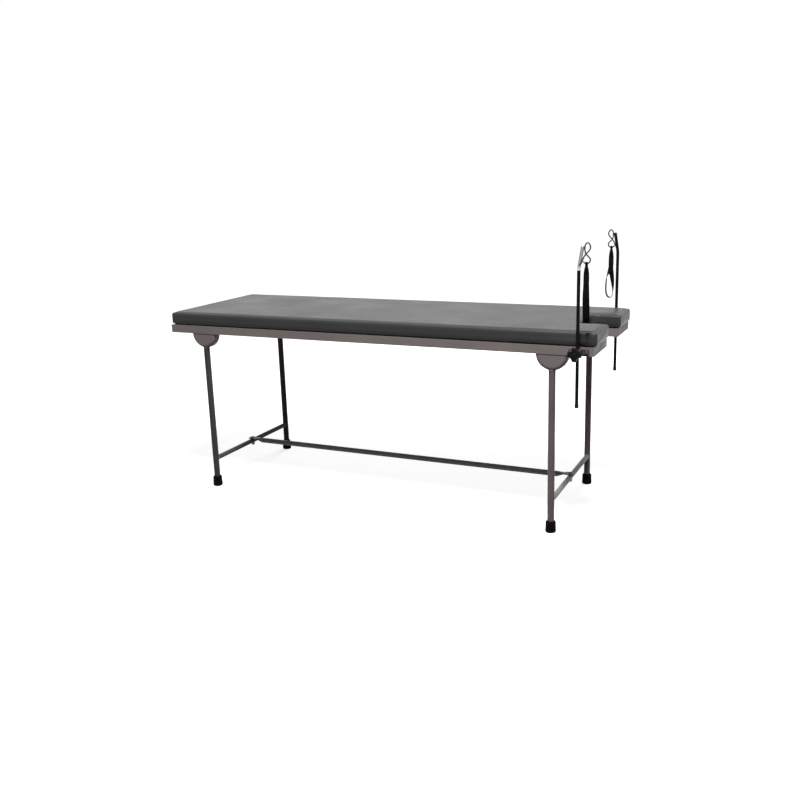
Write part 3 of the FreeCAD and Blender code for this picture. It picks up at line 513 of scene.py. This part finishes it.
def pad_shell():
    """The slightly smaller closed shape that the pad swells from."""
    rows = [[(point.x, point.y, height) for point in pad_outline(inset)] for inset, height in pad_profile()]
    points = [point for row in rows for point in row]
    return mesh_object("pad_cover", points, tube_faces(len(rows), len(rows[0])))


def applied(piece):
    """The mesh of a piece with its modifiers applied."""
    graph = bpy.context.evaluated_depsgraph_get()
    return bpy.data.meshes.new_from_object(piece.evaluated_get(graph))


def remesh(piece, size):
    """Rebuild a piece from voxels of one size."""
    modifier = piece.modifiers.new("voxels", "REMESH")
    modifier.mode = "VOXEL"
    modifier.voxel_size = size
    modifier.use_smooth_shade = True
    mesh = applied(piece)
    piece.modifiers.clear()
    piece.data = mesh


def inflate(piece, pinned):
    """Press the cover outward from inside with cloth and return where its points come to lie."""
    scene = bpy.context.scene
    group = piece.vertex_groups.new(name="pinned")
    group.add(pinned, 1.0, "REPLACE")
    cloth = piece.modifiers.new("swell", "CLOTH")
    settings = cloth.settings
    settings.quality = CLOTH_QUALITY
    settings.use_pressure = True
    settings.uniform_pressure_force = CLOTH_PRESSURE
    settings.effector_weights.gravity = 0.0
    settings.vertex_group_mass = "pinned"
    cloth.point_cache.frame_start, cloth.point_cache.frame_end = 1, CLOTH_FRAMES
    for step in range(1, CLOTH_FRAMES + 1):
        scene.frame_set(step)
    graph = bpy.context.evaluated_depsgraph_get()
    places = [vertex.co.copy() for vertex in piece.evaluated_get(graph).data.vertices]
    piece.modifiers.clear()
    piece.vertex_groups.clear()
    scene.frame_set(1)
    return places


def evened(mesh, values, rounds):
    """Values of a mesh's points, each drawn towards the mean of its neighbours."""
    for _ in range(rounds):
        total, count = values[:], [1] * len(values)
        for edge in mesh.edges:
            first, second = edge.vertices
            total[first] += values[second]
            total[second] += values[first]
            count[first] += 1
            count[second] += 1
        values = [value / number for value, number in zip(total, count)]
    return values


def inside_pad(x, y, margin):
    """Whether a place in plan lies within the pad's notched outline less a margin."""
    within = abs(x) < PAD_END - margin and abs(y) < PAD_SIDE - margin
    return within and not (x > NOTCH_END - margin and abs(y) < NOTCH_SIDE + margin)


def make_pad():
    """The mattress pad: a foam slab under vinyl, a little fuller at its sides than at its corners."""
    pad = pad_shell()
    remesh(pad, PAD_VOXEL)
    rest = [vertex.co.copy() for vertex in pad.data.vertices]
    normals = [vertex.normal.copy() for vertex in pad.data.vertices]
    pinned = [i for i, place in enumerate(rest) if place.z < PAD_BOTTOM + PINNED_HEIGHT]
    swollen = inflate(pad, pinned)
    swell = [(there - here).dot(normal) for there, here, normal in zip(swollen, rest, normals)]
    swell = evened(pad.data, swell, EVENING_ROUNDS)
    fixed = set(pinned)
    for i, vertex in enumerate(pad.data.vertices):
        if i in fixed:
            if inside_pad(vertex.co.x, vertex.co.y, RECESS_MARGIN):
                vertex.co.z = BOARD_TOP + BOARD_GAP
            continue
        uneven = 1.0 + UNEVEN_SHARE * noise.noise(rest[i] * UNEVEN_SCALE)
        cap = PAD_SWELL * min(1.0, uneven) * min(1.0, (rest[i].z - PAD_BOTTOM) / SWELL_START)
        vertex.co = rest[i] + normals[i] * min(max(swell[i], 0.0), cap)
    smoother = pad.modifiers.new("finer", "SUBSURF")
    smoother.levels = smoother.render_levels = 1
    mesh = applied(pad)
    pad.modifiers.clear()
    pad.data = mesh
    mesh.shade_smooth()
    ride(pad, "root", MATERIALS["pad"])
    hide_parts("mattress_pad")


# Webbing

STRAP_WIDTH, STRAP_THICKNESS = 0.0195, 0.0023
EYE_WIDTH, EYE_RADIUS = 0.0080, 0.0047
STEM_TOP, TAPER_END, FORK = 0.3015, 0.2727, 0.2342
PLY_OUT, PLY_OUT_AT_EYE = 0.0012, 0.0019
PATH_STEPS, BAND_AROUND = 6, 12

# Rows of along, out and up from the rod at its clamp, and the turn of the width in degrees
STRAP_LOOPS = {
    # near strand down, across the bottom and up the far strand
    "right": [
        (0.0262, -0.0046, 0.222, 0), (0.0266, -0.0102, 0.204, 2), (0.0272, -0.0128, 0.180, 5),
        (0.0283, -0.0134, 0.150, 6), (0.0287, -0.0128, 0.124, 4), (0.0286, -0.0092, 0.110, 2),
        (0.0288, -0.0040, 0.1052, 0), (0.0286, 0.0030, 0.1085, 0), (0.0284, 0.0058, 0.122, 0),
        (0.0280, 0.0066, 0.150, 0), (0.0270, 0.0062, 0.180, 0), (0.0264, 0.0050, 0.204, 0),
        (0.0262, 0.0032, 0.222, 0)],
    # outer strand down, turning quickly, across the bottom and up the strand beside the rod, turning slowly
    "left": [
        (0.0278, -0.0014, 0.224, -10), (0.0345, -0.0005, 0.208, -45), (0.0410, 0.0, 0.192, -74),
        (0.0440, 0.0, 0.172, -88), (0.0449, 0.0, 0.148, -90), (0.0440, 0.0, 0.128, -90),
        (0.0400, 0.0, 0.1135, -90), (0.0320, 0.0, 0.1058, -90), (0.0235, 0.0, 0.1068, -88),
        (0.0178, 0.0, 0.1180, -82), (0.0165, 0.0, 0.140, -66), (0.0178, 0.0, 0.163, -42),
        (0.0206, 0.0004, 0.186, -22), (0.0236, 0.0010, 0.208, -8), (0.0256, 0.0014, 0.224, -2)]}


def smooth_loop(points, steps):
    """Places along a closed curve through the points; each place has as many numbers as a point has."""
    count = len(points)
    places = []
    for i in range(count):
        around = [points[(i + shift) % count] for shift in (-1, 0, 1, 2)]
        for step in range(steps):
            t = step / steps
            weights = (-t + 2 * t * t - t ** 3, 2 - 5 * t * t + 3 * t ** 3,
                       t + 4 * t * t - 3 * t ** 3, -t * t + t ** 3)
            columns = zip(*around)
            places.append([sum(w * value for w, value in zip(weights, column)) / 2 for column in columns])
    return places


def ribbon(name, stations, thickness):
    """A closed band of webbing through stations of (middle, direction of its width, width)."""
    count = len(stations)
    points, lay = [], []
    length = 0.0
    for i, (middle, across, width) in enumerate(stations):
        run = stations[(i + 1) % count][0] - stations[i - 1][0]
        length += (middle - stations[i - 1][0]).length if i else 0.0
        run.normalize()
        across = (across - run * across.dot(run)).normalized()
        face = run.cross(across)
        half, edge = width / 2, thickness / 2
        for k in range(BAND_AROUND):
            turn = (k + 0.5) / BAND_AROUND * FULL_TURN
            side = 1 if math.cos(turn) > 0 else -1
            reach = side * (half - edge) + edge * math.cos(turn)
            points.append(middle + across * reach + face * (edge * math.sin(turn)))
            lay.append((reach, length, half))
    band = mesh_object(name, points, tube_faces(count, BAND_AROUND, closed=True))
    store_lay(band, lay)
    return band


def store_lay(piece, lay):
    """Keep each point's place across and along the webbing, and half its width, for the weave."""
    layer = piece.data.attributes.new("lay", "FLOAT_VECTOR", "POINT")
    layer.data.foreach_set("vector", [number for place in lay for number in place])


def strap_rows(loop):
    """Rows of (along, out, up, turn of the width, width) from the fork round the loop and over the eye."""
    eye = []
    for turn in (math.radians(angle) for angle in (0, 45, 90, 135, 180)):
        out, up = EYE_RADIUS * math.cos(turn), EYE_HEIGHT + EYE_RADIUS * math.sin(turn)
        eye.append((HOOK_MIDDLE, out, up, 0.0, EYE_WIDTH))
    stem = [(HOOK_MIDDLE, PLY_OUT, FORK + 0.004, 0.0, STRAP_WIDTH),
            (HOOK_MIDDLE, PLY_OUT, 0.255, 0.0, STRAP_WIDTH),
            (HOOK_MIDDLE, PLY_OUT, TAPER_END, 0.0, STRAP_WIDTH - 0.001),
            (HOOK_MIDDLE, PLY_OUT, 0.288, 0.0, 0.0145),
            (HOOK_MIDDLE, PLY_OUT_AT_EYE, STEM_TOP - 0.0025, 0.0, EYE_WIDTH + 0.001)]
    down = [(along, -out, up, turn, width) for along, out, up, turn, width in reversed(stem)]
    return [*((*row, STRAP_WIDTH) for row in loop), *stem, *eye, *down]


def make_strap(name, side):
    """The webbing strap of one side, hanging from the eye that is sewn round the hook's wire."""
    stations = []
    for along, out, up, turn, width in smooth_loop(strap_rows(STRAP_LOOPS[name]), PATH_STEPS):
        angle = math.radians(turn)
        across = Vector((-side * math.cos(angle), -side * math.sin(angle), 0.0))
        stations.append((beside_rod(side, along, out, up), across, width))
    band = ribbon(f"webbing_{name}", stations, STRAP_THICKNESS)
    ride(band, f"strap_{name}", MATERIALS["webbing"])
    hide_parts(f"ankle_strap_{name}")
    make_stitches(name, side)


# Stitches

STITCH_OUT, STITCH_LENGTH, THREAD_RADIUS, THREAD_AROUND = 0.00255, 0.0030, 0.00035, 6
STITCH_START, STITCH_END = 0.12, 0.88
STITCH_ROWS = ((0.0, 0.35), (0.18, 0.9), (0.5, 1.0), (0.82, 0.9), (1.0, 0.35))
SEWN_BOX_LOW, SEWN_BOX_HIGH, SEWN_BOX_HALF = FORK + 0.006, 0.266, 0.0072
TACK_HEIGHTS, TACK_HALF = (0.2915, 0.2935, 0.2955), 0.0043


def stitch(start, end):
    """Points and faces of one stitch of thread, with pinched ends."""
    run = end - start
    points = []
    for share, size in STITCH_ROWS:
        points += ring(start + run * share, run, THREAD_RADIUS * size, THREAD_AROUND)
    return points, tube_faces(len(STITCH_ROWS), THREAD_AROUND)


def make_stitches(name, side):
    """A sewn box with a cross at the fork, and bar tacks under the eye, on both faces of the stem."""
    left, right = HOOK_MIDDLE - SEWN_BOX_HALF, HOOK_MIDDLE + SEWN_BOX_HALF
    low, high = SEWN_BOX_LOW, SEWN_BOX_HIGH
    lines = [((left, low), (right, low)), ((right, low), (right, high)), ((right, high), (left, high)),
             ((left, high), (left, low)), ((left, low), (right, high)), ((right, low), (left, high))]
    lines += [((HOOK_MIDDLE - TACK_HALF, up), (HOOK_MIDDLE + TACK_HALF, up)) for up in TACK_HEIGHTS]
    parts = []
    for out in (-STITCH_OUT, STITCH_OUT):
        for start, end in lines:
            start, end = Vector(start), Vector(end)
            count = max(2, round((end - start).length / STITCH_LENGTH))
            for i in range(count):
                first = start.lerp(end, (i + STITCH_START) / count)
                last = start.lerp(end, (i + STITCH_END) / count)
                parts.append(stitch(beside_rod(side, first.x, out, first.y),
                                    beside_rod(side, last.x, out, last.y)))
    stitches = mesh_object(f"stitches_{name}", *joined(parts))
    ride(stitches, f"strap_{name}", MATERIALS["thread"])


# Welds

BAR_BEAD, LEG_BEAD, GUSSET_BEAD = 0.0013, 0.0011, 0.0009
BAR_WELD_STEPS, LEG_WELD_STEPS, GUSSET_WELD_STEPS = 40, 44, 46
LEG_SEED, GUSSET_SEED = 9, 17
BEAD_AROUND = 8
WELD_GAP, WELD_LIFT = 0.0001, 0.0002
RIPPLE, RIPPLE_PACE = 0.16, 2.1
ROUGH, ROUGH_SCALE = 0.25, 160.0
BEAD_END, BEAD_GROWTH = 0.35, 0.4
GUSSET_WELD_INSET = 0.003


def bead(path, closed, radius, seed):
    """A weld bead along a path: a round ridge with ripples and an uneven width."""
    count = len(path)
    points = []
    for i, place in enumerate(path):
        before = path[i - 1] if closed or i else place
        after = path[(i + 1) % count] if closed or i < count - 1 else place
        rough = noise.noise(place * ROUGH_SCALE + Vector((seed, 0, 0)))
        size = 1.0 + RIPPLE * math.sin(i * RIPPLE_PACE) + ROUGH * rough
        if not closed:
            size *= min(1.0, BEAD_END + BEAD_GROWTH * min(i, count - 1 - i))
        points += ring(place, (after - before).normalized(), radius * size, BEAD_AROUND)
    return points, tube_faces(count, BEAD_AROUND, closed)


def bar_weld(end, side):
    """The ring where a cross bar's end meets the round of a leg."""
    path = []
    for i in range(BAR_WELD_STEPS):
        turn = i / BAR_WELD_STEPS * FULL_TURN
        across, up = BAR_RADIUS * math.cos(turn), BAR_RADIUS * math.sin(turn)
        reach = math.sqrt(LEG_RADIUS ** 2 - across ** 2)
        path.append(Vector((end * LEG_X + across, side * (LEG_Y - reach), BAR_Z + up)))
    return bead(path, True, BAR_BEAD, end + 2 * side)


def leg_weld(end, side):
    """The ring where a leg comes out of its gusset."""
    height = RAIL_BOTTOM - WELD_GAP - GUSSET_RADIUS + WELD_LIFT
    path = []
    for i in range(LEG_WELD_STEPS):
        turn = i / LEG_WELD_STEPS * FULL_TURN
        along, out = LEG_RADIUS * math.cos(turn), LEG_RADIUS * math.sin(turn)
        path.append(Vector((end * LEG_X + along, side * LEG_Y + out, height)))
    return bead(path, True, LEG_BEAD, end + 2 * side + LEG_SEED)


def gusset_weld(end, side):
    """The seam between a gusset's upper edge and the underside of the rail, on its outer face."""
    reach = GUSSET_RADIUS - GUSSET_WELD_INSET
    front, height = side * (LEG_Y + GUSSET_FRONT), RAIL_BOTTOM - WELD_LIFT
    last = GUSSET_WELD_STEPS - 1
    path = [Vector((end * LEG_X - reach + 2 * reach * i / last, front, height)) for i in range(last + 1)]
    return bead(path, False, GUSSET_BEAD, end + 2 * side + GUSSET_SEED)


def make_welds():
    """All the painted welds of the frame and the bars."""
    parts = {"frame_welds": [], "bar_welds": []}
    for end in ENDS.values():
        for side in SIDES.values():
            parts["bar_welds"].append(bar_weld(end, side))
            parts["frame_welds"] += [leg_weld(end, side), gusset_weld(end, side)]
    for name, slot, key in (("frame_welds", "frame_paint", "frame"), ("bar_welds", "bar_paint", "bars")):
        ride(mesh_object(name, *joined(parts[name])), "root", MATERIALS[key])


# Light, floor and camera

AMBIENT = 0.05
FLOOR_REACH, FLOOR_SHADE = 60.0, 0.8
FLOOR_GLOW, GLOW_START, GLOW_END = 0.80, 1.4, 4.0


def make_world():
    """White where it is seen, and a plain soft light elsewhere."""
    world = bpy.data.worlds.new("studio")
    bpy.context.scene.world = world
    world.use_nodes = True
    graph = Graph(world.node_tree)
    background = graph.nodes["Background"]
    background.inputs["Color"].default_value = (1.0, 1.0, 1.0, 1.0)
    graph.set(background.inputs["Strength"], graph.spread(graph.seen_ray(), 0.0, 1.0, AMBIENT, 1.0))


def make_floor():
    """A pale floor that keeps the table's shadow, and turns into the white background further off."""
    corners = [(x * FLOOR_REACH, y * FLOOR_REACH, 0) for x, y in ((-1, -1), (1, -1), (1, 1), (-1, 1))]
    floor = mesh_object("floor", corners, [(0, 1, 2, 3)])
    material = bpy.data.materials.new("floor_white")
    material.use_nodes = True
    graph = Graph(material.node_tree)
    graph.nodes.clear()
    seen = graph.seen_ray()
    diffuse = graph.add("ShaderNodeBsdfDiffuse")
    graph.set(diffuse.inputs["Color"], graph.spread(seen, 0.0, 1.0, AMBIENT, FLOOR_SHADE))
    away = graph.add("ShaderNodeVectorMath", operation="LENGTH")
    graph.set(away.inputs[0], graph.add("ShaderNodeTexCoord").outputs["Object"])
    white = graph.spread(away.outputs["Value"], GLOW_START, GLOW_END, FLOOR_GLOW, 1.0)
    glow = graph.add("ShaderNodeEmission")
    graph.set(glow.inputs["Strength"], graph.math("MULTIPLY", seen, white))
    both = graph.add("ShaderNodeAddShader")
    graph.set(both.inputs[0], diffuse.outputs[0])
    graph.set(both.inputs[1], glow.outputs[0])
    graph.set(graph.add("ShaderNodeOutputMaterial").inputs["Surface"], both.outputs[0])
    wear(floor, material)


def area_light(name, place, target, size, power, glossy=True):
    """A square soft light that looks at a target; reflections show it only if it is glossy."""
    lamp = bpy.data.lights.new(name, "AREA")
    lamp.shape = "SQUARE"
    lamp.size = size
    lamp.energy = power
    light = bpy.data.objects.new(name, lamp)
    light.location = place
    light.visible_glossy = glossy
    light.rotation_euler = (Vector(target) - Vector(place)).to_track_quat("-Z", "Y").to_euler()
    bpy.context.scene.collection.objects.link(light)


def make_camera():
    """The photograph's own viewpoint and framing."""
    yaw, pitch, roll = CAMERA_YAW, CAMERA_PITCH, CAMERA_ROLL
    ahead = Vector((math.sin(yaw) * math.cos(pitch), math.cos(yaw) * math.cos(pitch), -math.sin(pitch)))
    level = Vector((math.cos(yaw), -math.sin(yaw), 0.0))
    above = level.cross(ahead)
    right = level * math.cos(roll) + above * math.sin(roll)
    up = above * math.cos(roll) - level * math.sin(roll)
    lens = bpy.data.cameras.new("camera")
    lens.sensor_width = SENSOR_WIDTH
    lens.lens = FOCAL_PIXELS / IMAGE_PIXELS * SENSOR_WIDTH
    lens.shift_x = (IMAGE_PIXELS / 2 - CENTRE_PIXEL[0]) / IMAGE_PIXELS
    lens.shift_y = (CENTRE_PIXEL[1] - IMAGE_PIXELS / 2) / IMAGE_PIXELS
    camera = bpy.data.objects.new("camera", lens)
    rotation = Matrix((right, up, -ahead)).transposed().to_4x4()
    camera.matrix_world = Matrix.Translation(CAMERA_PLACE) @ rotation
    bpy.context.scene.collection.objects.link(camera)
    bpy.context.scene.camera = camera


make_camera()
dress_frame()
make_pad()
for side_name, side_sign in SIDES.items():
    make_strap(side_name, side_sign)
make_welds()
make_world()
make_floor()
area_light("key", place=(0.9, -1.5, 4.0), target=(0.2, 0.0, 0.55), size=1.0, power=225.0)
area_light("back", place=(-0.6, 3.6, 1.7), target=(0.0, 0.3, 0.5), size=2.0, power=60.0, glossy=False)

bpy.context.scene.view_settings.view_transform = "Standard"
